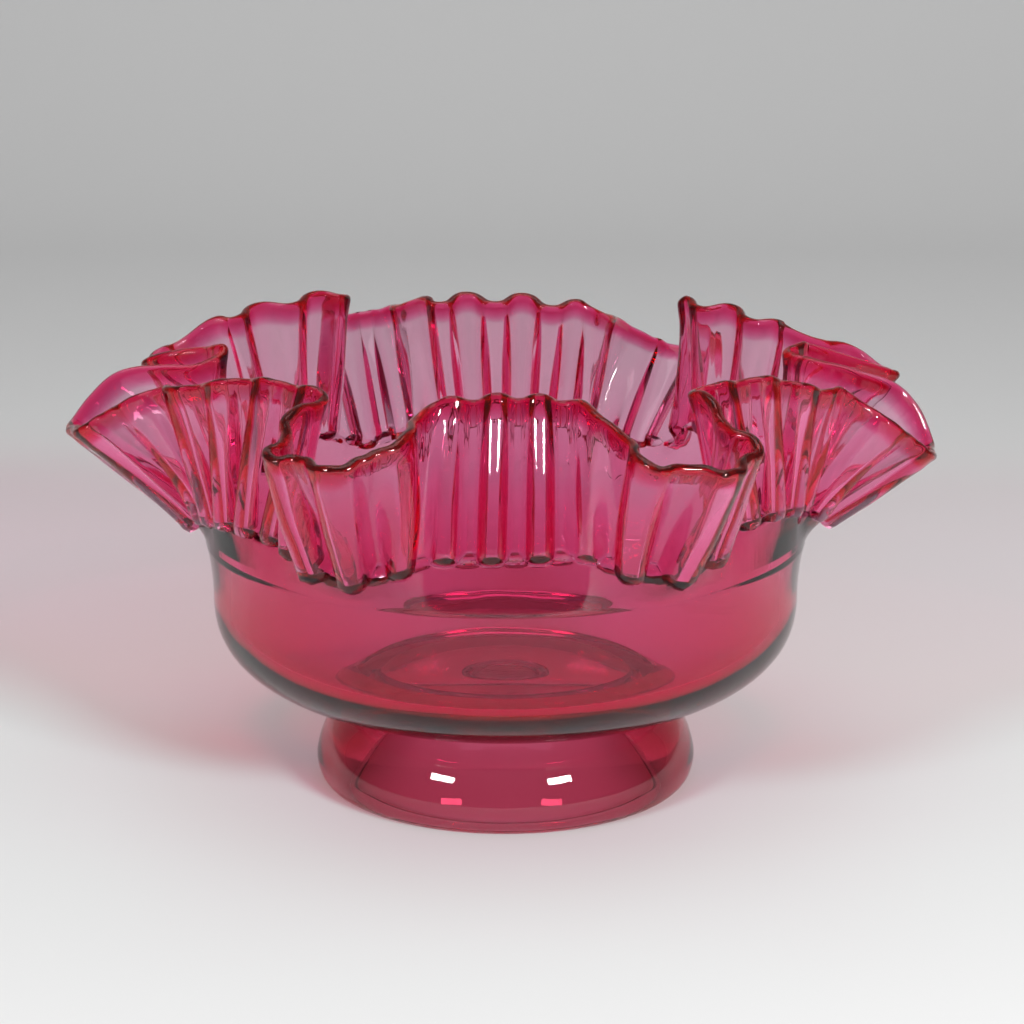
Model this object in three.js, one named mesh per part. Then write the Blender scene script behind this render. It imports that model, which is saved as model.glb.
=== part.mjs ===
// A cranberry glass bowl: a round body on an applied foot ring, with a crimped frill of six lobes.
// Lengths are in millimetres and angles in degrees. +Z is up, and the foot stands on z = 0.
import * as THREE from "three";

// Foot ring, of clear glass
const footHeight = 26;
const footRadius = 56;
const footWidestHeight = 7;
const footBaseOuterRadius = 52;
const footBaseInnerRadius = 45;
const footHollowMiddleRadius = 40;
const footHollowMiddleHeight = 10.4;
const footHollowTopRadius = 37;
const footSwell = 1.5;

// Body: the outer curve is a squared ellipse that starts on the seat and ends at the widest height
const seatRadius = 45;
const bodyRadius = 85.3;
const bellyDepth = 34.5;
const bellySquareness = 2.6;
const neckRise = 16;
const neckFlare = 1.8;

// Walls of the body, and the gap that parts the two layers
const casingWall = 4.7;
const casingWallAtNeck = 2.4;
const casingFloor = 6;
const insideFloorRadius = 41;
const liningWall = 1;
const layerGap = 0.3;

// Scar under the floor, where the iron was snapped off
const scarRadius = 13;
const scarDepth = 1.6;
const scarRingRadius = 10.4;
const scarRingWidth = 2.4;
const scarRingDepth = 0.7;

// Frill: the flutes lie closer and flatter at the left and right than in front and behind
const fluteCount = 50;
const flutePhase = 1.4;
const fluteGather = 4.7;
const fluteCalm = 0.3;
const frillWall = 2.2;
const rimWall = 3;
const beadStart = 0.9;
const fluteDepth = 3.8;
const fluteDepthAtRim = 1.8;
const fluteDepthAtLobeRim = 2.2;
const fluteFade = 0.5;
const fluteSquareness = 1.2;
const fluteSquarenessAtLobe = 1.8;
const fluteTip = 0.27;
const fluteTipAtLobe = 0.2;
const fluteTipTilt = 0.04;
const fluteTipSpan = 0.08;
const crestLean = 1.5;
const lobeSpring = 0.06;
const openPitch = 40;

// Rim: how far the lobes and the crests stand from the axis, and how high they are over the neck
const lobeReach = 116;
const lobeRise = 40;
const crestReach = 80;
const crestRise = 56;
const rimWave = 0.7;

// The rim, from the right-hand lobe round to the left: each fold is a lobe and the crest after it. Turn is
// the lobe's place along the frill. The folds are pulled by hand, so each gives its reach and its rise as
// shares of the common ones. A crest is given by its start, middle and end. Six lobes are large, and two
// small ones are tucked in beside the outer pair, whose sides rise sooner there.
const folds = [
  {
    lobe: { turn: 0, bearing: -1, reach: 1.055, rise: 0.66, tuckedAfter: true },
    crest: [
      { bearing: 4, reach: 1.15, rise: 0.84 },
      { bearing: 8.5, reach: 1.05, rise: 0.9 },
      { bearing: 13, reach: 1.125, rise: 0.9 },
    ],
  },
  {
    lobe: { turn: 20, bearing: 15, reach: 1.03, rise: 1.0 },
    crest: [
      { bearing: 21, reach: 1.1, rise: 0.96 },
      { bearing: 35, reach: 1.025, rise: 1 },
      { bearing: 49, reach: 1, rise: 1 },
    ],
  },
  {
    lobe: { turn: 60, bearing: 58, reach: 1, rise: 0.825 },
    crest: [
      { bearing: 70, reach: 0.95, rise: 0.93 },
      { bearing: 90, reach: 0.925, rise: 0.965 },
      { bearing: 109, reach: 0.95, rise: 0.965 },
    ],
  },
  {
    lobe: { turn: 120, bearing: 118, reach: 0.95, rise: 1.1 },
    crest: [
      { bearing: 128, reach: 1, rise: 1.035 },
      { bearing: 144, reach: 1.04, rise: 1.03 },
      { bearing: 159, reach: 1.125, rise: 1 },
    ],
  },
  {
    lobe: { turn: 160, bearing: 165, reach: 0.95, rise: 1.1 },
    crest: [
      { bearing: 168, reach: 1.125, rise: 0.9 },
      { bearing: 172, reach: 1.03, rise: 0.91 },
      { bearing: 176, reach: 1.125, rise: 0.85 },
    ],
  },
  {
    lobe: { turn: 180, bearing: 180.5, reach: 1.07, rise: 0.82, tuckedBefore: true },
    crest: [
      { bearing: 195, reach: 1.225, rise: 0.87 },
      { bearing: 214, reach: 1.05, rise: 0.98 },
      { bearing: 233, reach: 1, rise: 0.98 },
    ],
  },
  {
    lobe: { turn: 240, bearing: 243, reach: 0.965, rise: 1.12 },
    crest: [
      { bearing: 256, reach: 0.95, rise: 0.98 },
      { bearing: 271, reach: 0.925, rise: 1.0 },
      { bearing: 286, reach: 0.95, rise: 0.98 },
    ],
  },
  {
    lobe: { turn: 300, bearing: 300, reach: 0.98, rise: 1.075 },
    crest: [
      { bearing: 309, reach: 1, rise: 0.98 },
      { bearing: 327, reach: 1.06, rise: 0.98 },
      { bearing: 344, reach: 1.2, rise: 0.86 },
    ],
  },
];

// From the tip of a lobe to the start of a crest. Along is a share of the way to the crest's middle, and the
// rest are shares of the way to its start: round for the bearing, inward for the reach, up for the height.
// Fluting is the share of the flutes' depth, which is least where the wall bends most.
const lobeSide = [
  { along: 0.2, round: 0.6, inward: 0.08, up: 0.12, fluting: 1 },
  { along: 0.36, round: 0.83, inward: 0.4, up: 0.5, fluting: 0.9 },
  { along: 0.5, round: 0.95, inward: 0.8, up: 0.85, fluting: 0.6 },
  { along: 0.58, round: 1.05, inward: 0.98, up: 0.98, fluting: 0.6 },
  { along: 0.66, round: 1.3, inward: 1.03, up: 1.02, fluting: 0.9 },
];
const tuckedSide = [
  { along: 0.2, round: 0.35, inward: 0.13, up: 0.45, fluting: 1 },
  { along: 0.38, round: 0.6, inward: 0.35, up: 0.82, fluting: 0.8 },
  { along: 0.6, round: 0.88, inward: 0.75, up: 0.95, fluting: 0.4 },
  { along: 0.76, round: 1.1, inward: 1.0, up: 1.01, fluting: 0.3 },
];

// Fineness of the curved faces
const roundSegments = 72;
const bellySteps = 8;
const columnsPerFlute = 6;
const frillRows = [0, 0.12, 0.2, 0.26, 0.34, 0.6, 0.9, 1];

// Finishes
const clearGlass = { color: 0xe6dde0, roughness: 0.05, transparent: true, opacity: 0.45 };
const rubyGlass = { color: 0xb01638, roughness: 0.05, transparent: true, opacity: 0.7 };
const frillGlass = { color: 0xcc4f86, roughness: 0.05, transparent: true, opacity: 0.7 };
const scarGlass = { color: 0xb8404f, roughness: 0.5, transparent: true, opacity: 0.8 };

const group = new THREE.Group();
group.name = "cranberry_glass_bowl";

function radians(degrees) {
  return (degrees * Math.PI) / 180;
}

function addPiece(name, geometry, finish) {
  const mesh = new THREE.Mesh(geometry, new THREE.MeshStandardMaterial(finish));
  mesh.name = name;
  group.add(mesh);
}

// A piece of revolution about +Z, from points of [radius, height].
function turned(profile) {
  const points = profile.map(([radius, height]) => new THREE.Vector2(radius, height));
  return new THREE.LatheGeometry(points, roundSegments).rotateX(Math.PI / 2);
}

// Body and its two layers

function squaredEllipse(share) {
  return Math.pow(1 - Math.pow(share, bellySquareness), 1 / bellySquareness);
}

const widestHeight = footHeight + bellyDepth * squaredEllipse(seatRadius / bodyRadius);
const neckHeight = widestHeight + neckRise;
const neckRadius = bodyRadius + neckFlare;
const liningOffset = casingWall + layerGap;
const bodyWall = liningOffset + liningWall;
const neckWall = bodyWall - casingWall + casingWallAtNeck;

// The curve of a layer from a flat floor to the neck. The inset is counted inward from the outer curve, and
// is less at the neck, where the casing thins.
function layerCurve(inset, floorHeight) {
  const radius = bodyRadius - inset;
  const depth = widestHeight - floorHeight;
  const bottom = depth / squaredEllipse(insideFloorRadius / radius);
  const points = [];
  for (let step = 0; step <= bellySteps; step += 1) {
    const angle = (Math.PI / 2) * (step / bellySteps);
    const at = insideFloorRadius + (radius - insideFloorRadius) * Math.sin(angle);
    points.push([at, widestHeight - bottom * squaredEllipse(at / radius)]);
  }
  points.push([neckRadius - inset + bodyWall - neckWall, neckHeight]);
  return points;
}

function outerCurve() {
  const points = [];
  for (let step = 0; step <= bellySteps; step += 1) {
    const angle = (Math.PI / 2) * (step / bellySteps);
    const at = seatRadius + (bodyRadius - seatRadius) * Math.sin(angle);
    points.push([at, widestHeight - bellyDepth * squaredEllipse(at / bodyRadius)]);
  }
  points.push([neckRadius, neckHeight]);
  return points;
}

const casingFloorHeight = footHeight + casingFloor;
const casingInside = layerCurve(casingWall, casingFloorHeight);
const casing = turned([
  [0, footHeight],
  ...outerCurve(),
  ...casingInside.slice().reverse(),
  [0, casingFloorHeight],
]);
addPiece("body_casing", casing, clearGlass);

const liningInside = layerCurve(bodyWall, casingFloorHeight + liningWall);
const lining = turned([
  [0, casingFloorHeight],
  ...layerCurve(liningOffset, casingFloorHeight),
  ...liningInside.slice().reverse(),
  [0, casingFloorHeight + liningWall],
]);
addPiece("ruby_lining", lining, rubyGlass);

// Foot ring: round below its widest height, drawn in above it to the seat

const footTop = [];
const footTopSteps = 6;
for (let step = 0; step <= footTopSteps; step += 1) {
  const share = step / footTopSteps;
  const swell = Math.pow(1 - Math.pow(share, footSwell), 1 / footSwell);
  const height = footWidestHeight + (footHeight - footWidestHeight) * share;
  footTop.push([seatRadius + (footRadius - seatRadius) * swell, height]);
}
const footBottom = [0, 0.5].map((share) => [
  footBaseOuterRadius + (footRadius - footBaseOuterRadius) * Math.sin((share * Math.PI) / 2),
  footWidestHeight * (1 - Math.cos((share * Math.PI) / 2)),
]);
const footProfile = [
  ...footBottom,
  ...footTop,
  [footHollowTopRadius, footHeight],
  [footHollowMiddleRadius, footHollowMiddleHeight],
  [footBaseInnerRadius, 0],
  footBottom[0],
];
addPiece("foot_ring", turned(footProfile), clearGlass);

// Scar: a low pad with a raised ring, on the underside of the casing

const scarBottom = footHeight - scarDepth;
const scarProfile = [
  [0, scarBottom + scarRingDepth],
  [scarRingRadius - scarRingWidth, scarBottom + scarRingDepth],
  [scarRingRadius, scarBottom],
  [scarRingRadius + scarRingWidth / 2, scarBottom + scarRingDepth],
  [scarRadius, footHeight],
  [0, footHeight],
];
addPiece("pontil_scar", turned(scarProfile), scarGlass);

// Frill

const { lerp } = THREE.MathUtils;

function wrapped(degrees) {
  return ((degrees + 540) % 360) - 180;
}

// A station on the rim. Its offset is how far its bearing runs ahead of its turn along the frill.
function station(turn, bearing, reach, rise, lobeShare, fluting) {
  return { turn, offset: wrapped(bearing - turn), reach, rise, lobeShare, fluting };
}

// Flutes lie flatter where two lobes are crowded together.
function crowding(pitch) {
  return Math.min(1, pitch / openPitch);
}

// A fold in real sizes.
function sizedFold({ lobe, crest }) {
  return {
    lobe: { ...lobe, reach: lobe.reach * lobeReach, rise: lobe.rise * lobeRise },
    crest: crest.map(({ bearing, reach, rise }) => {
      return { bearing, reach: reach * crestReach, rise: rise * crestRise };
    }),
  };
}

// The rim's stations all round, in order of their turn along the frill.
function rimStations() {
  const all = [];
  const sized = folds.map(sizedFold);
  sized.forEach(({ lobe, crest }, index) => {
    const count = sized.length;
    const next = sized[(index + 1) % count].lobe;
    const last = sized[(index + count - 1) % count];
    const toNext = (next.turn - lobe.turn + 360) % 360;
    const toLast = (lobe.turn - last.lobe.turn + 360) % 360;
    const tipFluting = crowding(Math.min(toNext, toLast));
    all.push(station(lobe.turn, lobe.bearing, lobe.reach, lobe.rise, 1, tipFluting));
    const sides = [
      { end: crest[0], way: toNext / 2, shape: lobe.tuckedAfter ? tuckedSide : lobeSide },
      { end: last.crest[2], way: -toLast / 2, shape: lobe.tuckedBefore ? tuckedSide : lobeSide },
    ];
    sides.forEach(({ end, way, shape }) => {
      shape.forEach(({ along, round, inward, up, fluting }) => {
        const bearing = lobe.bearing + wrapped(end.bearing - lobe.bearing) * round;
        const reach = lerp(lobe.reach, end.reach, inward);
        const rise = lerp(lobe.rise, end.rise, up);
        const share = Math.max(0, 1 - 2 * along);
        const flatter = fluting * crowding(2 * Math.abs(way));
        all.push(station(lobe.turn + way * along, bearing, reach, rise, share, flatter));
      });
    });
    const { bearing, reach, rise } = crest[1];
    all.push(station(lobe.turn + toNext / 2, bearing, reach, rise, 0, crowding(toNext)));
  });
  return all.sort((one, other) => one.turn - other.turn);
}

const stations = rimStations();

function stationAt(index) {
  const laps = Math.floor(index / stations.length);
  const found = stations[index - laps * stations.length];
  return { ...found, turn: found.turn + 360 * laps };
}

// A smooth value between the stations, which runs through each of them.
function rimValue(turn, key) {
  const place = turn - 360 * Math.floor((turn - stations[0].turn) / 360);
  const index = Math.max(stations.findLastIndex((one) => one.turn <= place), 0);
  const [before, from, to, after] = [-1, 0, 1, 2].map((step) => stationAt(index + step));
  const span = to.turn - from.turn;
  const t = (place - from.turn) / span;
  const slopeFrom = ((to[key] - before[key]) / (to.turn - before.turn)) * span;
  const slopeTo = ((after[key] - from[key]) / (after.turn - from.turn)) * span;
  const t2 = t * t;
  const t3 = t2 * t;
  return (
    (2 * t3 - 3 * t2 + 1) * from[key] +
    (t3 - 2 * t2 + t) * slopeFrom +
    (3 * t2 - 2 * t3) * to[key] +
    (t3 - t2) * slopeTo
  );
}

// The middle of the frill's wall before it is fluted. The height share runs from the neck to the rim.
function plainWall(turn, share) {
  const middleRadius = neckRadius - neckWall / 2;
  const lobeShare = rimValue(turn, "lobeShare");
  const spring = (share * (1 + lobeSpring)) / (share + lobeSpring);
  const outward = Math.pow(share, lerp(crestLean, 1, lobeShare)) * lerp(1, spring, lobeShare);
  const radius = lerp(middleRadius, rimValue(turn, "reach"), outward);
  const bearing = radians(turn + rimValue(turn, "offset") * share);
  const height = neckHeight + rimValue(turn, "rise") * share;
  return new THREE.Vector3(radius * Math.cos(bearing), radius * Math.sin(bearing), height);
}

// The direction square to a wall and the direction up it, at an angle round the frill.
function directions(wall, at, share) {
  const step = 0.05;
  const climb = 0.01;
  const sideways = wall(at + step, share).sub(wall(at - step, share));
  const upward = wall(at, Math.min(share + climb, 1)).sub(wall(at, Math.max(share - climb, 0)));
  return { normal: sideways.clone().cross(upward).normalize(), upward: upward.normalize() };
}

// The turn at a place along the flutes, which are evenly spaced in place and not in turn.
function turnAt(place) {
  return place - fluteGather * Math.sin(radians(2 * place));
}

// The middle of the fluted wall. Flutes end in round tips over the neck, and fade towards the rim.
function flutedWall(place, share) {
  const { smoothstep } = THREE.MathUtils;
  const turn = turnAt(place);
  const lobeShare = rimValue(turn, "lobeShare");
  const tip = lerp(fluteTip, fluteTipAtLobe, lobeShare) + fluteTipTilt * Math.cos(radians(turn));
  const grown = smoothstep(share, tip - fluteTipSpan / 2, tip + fluteTipSpan / 2);
  const rimDepth = lerp(fluteDepthAtRim, fluteDepthAtLobeRim, lobeShare);
  const faded = smoothstep(share, fluteFade, 1);
  const calm = 1 - (fluteCalm * (1 + Math.cos(radians(2 * place)))) / 2;
  const depth = grown * lerp(fluteDepth, rimDepth, faded) * rimValue(turn, "fluting") * calm;
  const wave = Math.cos(radians(fluteCount * (place - flutePhase)));
  const squareness = lerp(fluteSquareness, fluteSquarenessAtLobe, lobeShare);
  const squared = Math.tanh(squareness * wave) / Math.tanh(squareness);
  const { normal } = directions(plainWall, turn, share);
  const middle = plainWall(turn, share).addScaledVector(normal, depth * squared);
  middle.z += rimWave * wave * faded;
  return middle;
}

const columns = fluteCount * columnsPerFlute;
const loops = [];

// Each loop of points runs round the frill. Loops go up the outside, over the lip and down the inside.
function addLoop(pointAt) {
  const loop = [];
  for (let column = 0; column < columns; column += 1) {
    loop.push(pointAt(flutePhase + (360 * column) / columns));
  }
  loops.push(loop);
}

function wallPoint(place, share, side) {
  if (share === 0) {
    const radius = side > 0 ? neckRadius : neckRadius - neckWall;
    const bearing = radians(turnAt(place));
    return new THREE.Vector3(radius * Math.cos(bearing), radius * Math.sin(bearing), neckHeight);
  }
  const { normal } = directions(flutedWall, place, share);
  const drawn = lerp(neckWall, frillWall, Math.min(share / fluteTip, 1));
  const thickness = lerp(drawn, rimWall, THREE.MathUtils.smoothstep(share, beadStart, 1));
  return flutedWall(place, share).addScaledVector(normal, (side * thickness) / 2);
}

frillRows.forEach((share) => addLoop((place) => wallPoint(place, share, 1)));
addLoop((place) => {
  const { upward } = directions(flutedWall, place, 1);
  return flutedWall(place, 1).addScaledVector(upward, rimWall / 2);
});
const downwards = frillRows.slice().reverse();
downwards.forEach((share) => addLoop((place) => wallPoint(place, share, -1)));

const frill = new THREE.BufferGeometry();
frill.setFromPoints(loops.flat());
const faces = [];
loops.forEach((loop, row) => {
  const next = (row + 1) % loops.length;
  for (let column = 0; column < columns; column += 1) {
    const beside = (column + 1) % columns;
    const [a, b] = [row * columns + column, row * columns + beside];
    const [c, d] = [next * columns + column, next * columns + beside];
    faces.push(a, b, d, a, d, c);
  }
});
frill.setIndex(faces);
frill.computeVertexNormals();
addPiece("crimped_frill", frill, frillGlass);

export default group;
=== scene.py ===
"""A cranberry glass bowl: a round body cased over ruby, a crimped frill and an applied, tinted foot.

Lengths are in metres and angles in degrees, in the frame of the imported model: +Z is up, the foot stands
on z = 0 and the bowl's axis is the Z axis. The glass pieces meet at fused faces, a hair apart, which
light crosses without bending, so they read as one piece of glass, as the real ones do.
"""

import logging
import math
from collections.abc import Callable
from dataclasses import dataclass, field
from enum import Enum

import bpy
import numpy as np
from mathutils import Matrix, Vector


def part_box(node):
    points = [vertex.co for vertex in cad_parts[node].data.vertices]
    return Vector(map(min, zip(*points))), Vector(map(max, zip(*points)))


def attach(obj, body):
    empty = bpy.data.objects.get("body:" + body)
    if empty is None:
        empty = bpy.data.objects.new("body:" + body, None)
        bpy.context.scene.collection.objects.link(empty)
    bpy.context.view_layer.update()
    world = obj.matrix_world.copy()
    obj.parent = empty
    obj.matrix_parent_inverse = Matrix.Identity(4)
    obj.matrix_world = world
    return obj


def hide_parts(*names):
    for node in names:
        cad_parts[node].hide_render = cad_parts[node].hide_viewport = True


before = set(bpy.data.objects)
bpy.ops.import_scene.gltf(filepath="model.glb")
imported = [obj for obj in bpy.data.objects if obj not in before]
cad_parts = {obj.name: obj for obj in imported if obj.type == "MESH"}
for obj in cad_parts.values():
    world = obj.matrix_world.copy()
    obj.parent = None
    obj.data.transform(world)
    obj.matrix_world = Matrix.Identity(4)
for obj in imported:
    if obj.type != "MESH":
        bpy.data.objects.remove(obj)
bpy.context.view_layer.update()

log = logging.getLogger("cranberry_bowl")
MM = 0.001
ROOT = "root"
WHITE = (1.0, 1.0, 1.0, 1.0)
STREAKS_PER_METRE_UP = 25.0


class Slot(Enum):
    """The record's material slots."""

    CASING = "clear_casing"
    LINING = "ruby_lining"
    FRILL = "cranberry_frill"
    FOOT = "clear_foot"
    SCAR = "rough_glass"


class Face(Enum):
    """Which of a piece's two finishes a band of faces takes."""

    GLASS = 0
    FUSED = 1


def new_material(name: str) -> tuple[bpy.types.Material, bpy.types.NodeTree]:
    """Makes an empty node material.

    Args:
        name: The material's name.

    Returns:
        The material and its node tree, with only an output node in it.
    """
    material = bpy.data.materials.new(name)
    material.use_nodes = True
    tree = material.node_tree
    tree.nodes.clear()
    tree.nodes.new("ShaderNodeOutputMaterial").name = "Output"
    return material, tree


def new_object(name: str, data: bpy.types.ID) -> bpy.types.Object:
    """A new object in the scene that shows a mesh, light or camera."""
    made = bpy.data.objects.new(name, data)
    bpy.context.scene.collection.objects.link(made)
    return made


@dataclass(frozen=True)
class Relief:
    """The relief of hand-worked glass: slow waves, streaks drawn up the wall and small chips.

    Heights are in millimetres. Waves and chips are counted by the metre, and streaks round the bowl.
    """

    waves: float = 0.0
    waves_per_metre: float = 45.0
    streaks: float = 0.0
    streaks_around: float = 300.0
    chips: float = 0.0
    chips_per_metre: float = 900.0

    @staticmethod
    def group() -> bpy.types.NodeTree:
        """The shared group that gives the relief's height and the streaks alone.

        Returns:
            The group, which is made once.
        """
        name = "hand_worked_glass"
        if name in bpy.data.node_groups:
            return bpy.data.node_groups[name]
        tree = bpy.data.node_groups.new(name, "ShaderNodeTree")
        for socket in (
            "Wave Height",
            "Wave Scale",
            "Streak Height",
            "Streaks Around",
            "Chip Height",
            "Chip Scale",
        ):
            tree.interface.new_socket(socket, in_out="INPUT", socket_type="NodeSocketFloat")
        for socket in ("Height", "Streaks"):
            tree.interface.new_socket(socket, in_out="OUTPUT", socket_type="NodeSocketFloat")
        nodes, links = tree.nodes, tree.links
        given, made = nodes.new("NodeGroupInput"), nodes.new("NodeGroupOutput")
        place = nodes.new("ShaderNodeTexCoord")

        def math_node(
            operation: str,
            first: bpy.types.NodeSocket | float,
            second: bpy.types.NodeSocket | float,
        ) -> bpy.types.NodeSocket:
            """A sum or product of two sockets or numbers."""
            node = nodes.new("ShaderNodeMath")
            node.operation = operation
            for socket, value in zip(node.inputs, (first, second)):
                if isinstance(value, (int, float)):
                    socket.default_value = value
                else:
                    links.new(value, socket)
            return node.outputs["Value"]

        waves = nodes.new("ShaderNodeTexNoise")
        waves.inputs["Detail"].default_value = 1.0
        links.new(place.outputs["Object"], waves.inputs["Vector"])
        links.new(given.outputs["Wave Scale"], waves.inputs["Scale"])

        parts = nodes.new("ShaderNodeSeparateXYZ")
        links.new(place.outputs["Object"], parts.inputs["Vector"])
        level = nodes.new("ShaderNodeCombineXYZ")
        links.new(parts.outputs["X"], level.inputs["X"])
        links.new(parts.outputs["Y"], level.inputs["Y"])
        bearing = nodes.new("ShaderNodeVectorMath")
        bearing.operation = "NORMALIZE"
        links.new(level.outputs["Vector"], bearing.inputs[0])
        around = nodes.new("ShaderNodeVectorMath")
        around.operation = "SCALE"
        links.new(bearing.outputs["Vector"], around.inputs[0])
        radius = math_node("MULTIPLY", given.outputs["Streaks Around"], 1 / (2 * math.pi))
        links.new(radius, around.inputs["Scale"])
        upward = nodes.new("ShaderNodeCombineXYZ")
        links.new(math_node("MULTIPLY", parts.outputs["Z"], STREAKS_PER_METRE_UP), upward.inputs["Z"])
        drawn = nodes.new("ShaderNodeVectorMath")
        links.new(around.outputs["Vector"], drawn.inputs[0])
        links.new(upward.outputs["Vector"], drawn.inputs[1])
        streaks = nodes.new("ShaderNodeTexNoise")
        streaks.inputs["Scale"].default_value = 1.0
        streaks.inputs["Detail"].default_value = 2.0
        links.new(drawn.outputs["Vector"], streaks.inputs["Vector"])

        chips = nodes.new("ShaderNodeTexVoronoi")
        links.new(place.outputs["Object"], chips.inputs["Vector"])
        links.new(given.outputs["Chip Scale"], chips.inputs["Scale"])

        wave = math_node("MULTIPLY", waves.outputs["Fac"], given.outputs["Wave Height"])
        streak = math_node("MULTIPLY", streaks.outputs["Fac"], given.outputs["Streak Height"])
        chip = math_node("MULTIPLY", chips.outputs["Distance"], given.outputs["Chip Height"])
        links.new(math_node("ADD", math_node("ADD", wave, streak), chip), made.inputs["Height"])
        links.new(streaks.outputs["Fac"], made.inputs["Streaks"])
        return tree

    def place(self, tree: bpy.types.NodeTree) -> bpy.types.Node:
        """Puts the shared group in a material, with this relief's values.

        Args:
            tree: The material's node tree.

        Returns:
            The group's node.
        """
        node = tree.nodes.new("ShaderNodeGroup")
        node.node_tree = self.group()
        node.inputs["Wave Height"].default_value = self.waves
        node.inputs["Wave Scale"].default_value = self.waves_per_metre
        node.inputs["Streak Height"].default_value = self.streaks
        node.inputs["Streaks Around"].default_value = self.streaks_around
        node.inputs["Chip Height"].default_value = self.chips
        node.inputs["Chip Scale"].default_value = self.chips_per_metre
        return node


@dataclass(frozen=True)
class Glass:
    """A clear or tinted glass.

    Lamps reach what is behind it through a transparent stand-in, and its colour comes from absorption
    over the light's real way through it. A glass with a streak tint lies inside other glass: it has no
    relief of its own, and the streaks only vary its colour a little.
    """

    name: str
    relief: Relief
    index: float = 1.5
    roughness: float = 0.0
    passes: tuple[float, float, float] = (1.0, 1.0, 1.0)
    absorbs_per_metre: float = 0.0
    lamp_share: float = 0.97
    streak_tint: tuple[float, float, float] | None = None

    def build(self) -> bpy.types.Material:
        """Makes the material.

        Returns:
            A glass material with a shadow stand-in and, where it absorbs, a volume.
        """
        material, tree = new_material(self.name)
        nodes, links = tree.nodes, tree.links
        surface = nodes.new("ShaderNodeBsdfPrincipled")
        surface.inputs["Base Color"].default_value = WHITE
        surface.inputs["Roughness"].default_value = self.roughness
        surface.inputs["IOR"].default_value = self.index
        surface.inputs["Transmission Weight"].default_value = 1.0
        through = nodes.new("ShaderNodeBsdfTransparent")
        through.inputs["Color"].default_value = (self.lamp_share,) * 3 + (1.0,)
        rays = nodes.new("ShaderNodeLightPath")
        either = nodes.new("ShaderNodeMixShader")
        links.new(rays.outputs["Is Shadow Ray"], either.inputs["Fac"])
        links.new(surface.outputs["BSDF"], either.inputs[1])
        links.new(through.outputs["BSDF"], either.inputs[2])
        links.new(either.outputs["Shader"], nodes["Output"].inputs["Surface"])
        if self.absorbs_per_metre > 0:
            volume = nodes.new("ShaderNodeVolumeAbsorption")
            volume.inputs["Color"].default_value = (*self.passes, 1.0)
            volume.inputs["Density"].default_value = self.absorbs_per_metre
            links.new(volume.outputs["Volume"], nodes["Output"].inputs["Volume"])
        relief = self.relief.place(tree)
        if self.streak_tint:
            tint = nodes.new("ShaderNodeMix")
            tint.data_type = "RGBA"
            tint.inputs["A"].default_value = WHITE
            tint.inputs["B"].default_value = (*self.streak_tint, 1.0)
            links.new(relief.outputs["Streaks"], tint.inputs["Factor"])
            links.new(tint.outputs["Result"], surface.inputs["Base Color"])
        else:
            bump = nodes.new("ShaderNodeBump")
            bump.inputs["Distance"].default_value = MM
            links.new(relief.outputs["Height"], bump.inputs["Height"])
            links.new(bump.outputs["Normal"], surface.inputs["Normal"])
        return material


@dataclass(frozen=True)
class FusedFace:
    """A face where one glass piece is melted onto another: light crosses it without bending."""

    name: str = "fused_face"

    def build(self) -> bpy.types.Material:
        """Makes the material, a bare transparent shader."""
        material, tree = new_material(self.name)
        through = tree.nodes.new("ShaderNodeBsdfTransparent")
        tree.links.new(through.outputs["BSDF"], tree.nodes["Output"].inputs["Surface"])
        return material


@dataclass(frozen=True)
class Paper:
    """The pale, matt paper of the floor and backdrop."""

    name: str
    colour: tuple[float, float, float]
    roughness: float = 0.9
    shine: float = 0.1

    def build(self) -> bpy.types.Material:
        """Makes the material, a matt surface of one colour."""
        material, tree = new_material(self.name)
        matt = tree.nodes.new("ShaderNodeBsdfPrincipled")
        matt.inputs["Base Color"].default_value = (*self.colour, 1.0)
        matt.inputs["Roughness"].default_value = self.roughness
        matt.inputs["Specular IOR Level"].default_value = self.shine
        tree.links.new(matt.outputs["BSDF"], tree.nodes["Output"].inputs["Surface"])
        return material


CLEAR = Glass("clear_glass", Relief(waves=0.06), passes=(0.4, 0.2, 0.25), absorbs_per_metre=5.0)
CRIMPED = Glass("crimped_glass", Relief(waves=0.05, waves_per_metre=120.0, streaks=0.012))
FOOT_GLASS = Glass(
    "foot_glass",
    Relief(waves=0.08),
    passes=(0.84, 0.0, 0.26),
    absorbs_per_metre=105.0,
    lamp_share=0.9,
)
RUBY = Glass(
    "ruby_glass",
    Relief(),
    index=1.0,
    passes=(0.945, 0.06, 0.49),
    absorbs_per_metre=1400.0,
    lamp_share=1.0,
    streak_tint=(0.99, 0.95, 0.96),
)
ROUGH = Glass("snapped_glass", Relief(waves=0.06, waves_per_metre=200.0, chips=0.04), roughness=0.01)


@dataclass
class Band:
    """A smooth run of rings of points, as one skin of a glass piece.

    The rings run round the bowl, and the run goes so that the outside of the glass lies to its right
    as it climbs. The first and last few rings may be guides: they only shape the shading where the
    skin runs on into another piece.
    """

    rings: np.ndarray
    face: Face = Face.GLASS
    guides_before: int = 0
    guides_after: int = 0

    def points(self) -> np.ndarray:
        """The rings that are really part of the skin."""
        return self.rings[self.guides_before : len(self.rings) - self.guides_after]

    def normals(self) -> np.ndarray:
        """The outward directions at the points of the skin.

        Returns:
            One unit vector for each point of points().
        """
        along = np.gradient(self.rings, axis=0)
        sideways = np.roll(self.rings, -1, axis=1) - np.roll(self.rings, 1, axis=1)
        normal = np.cross(sideways, along)
        length = np.linalg.norm(normal, axis=2, keepdims=True)
        normal = normal / np.maximum(length, 1e-12)
        return normal[self.guides_before : len(self.rings) - self.guides_after]


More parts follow.
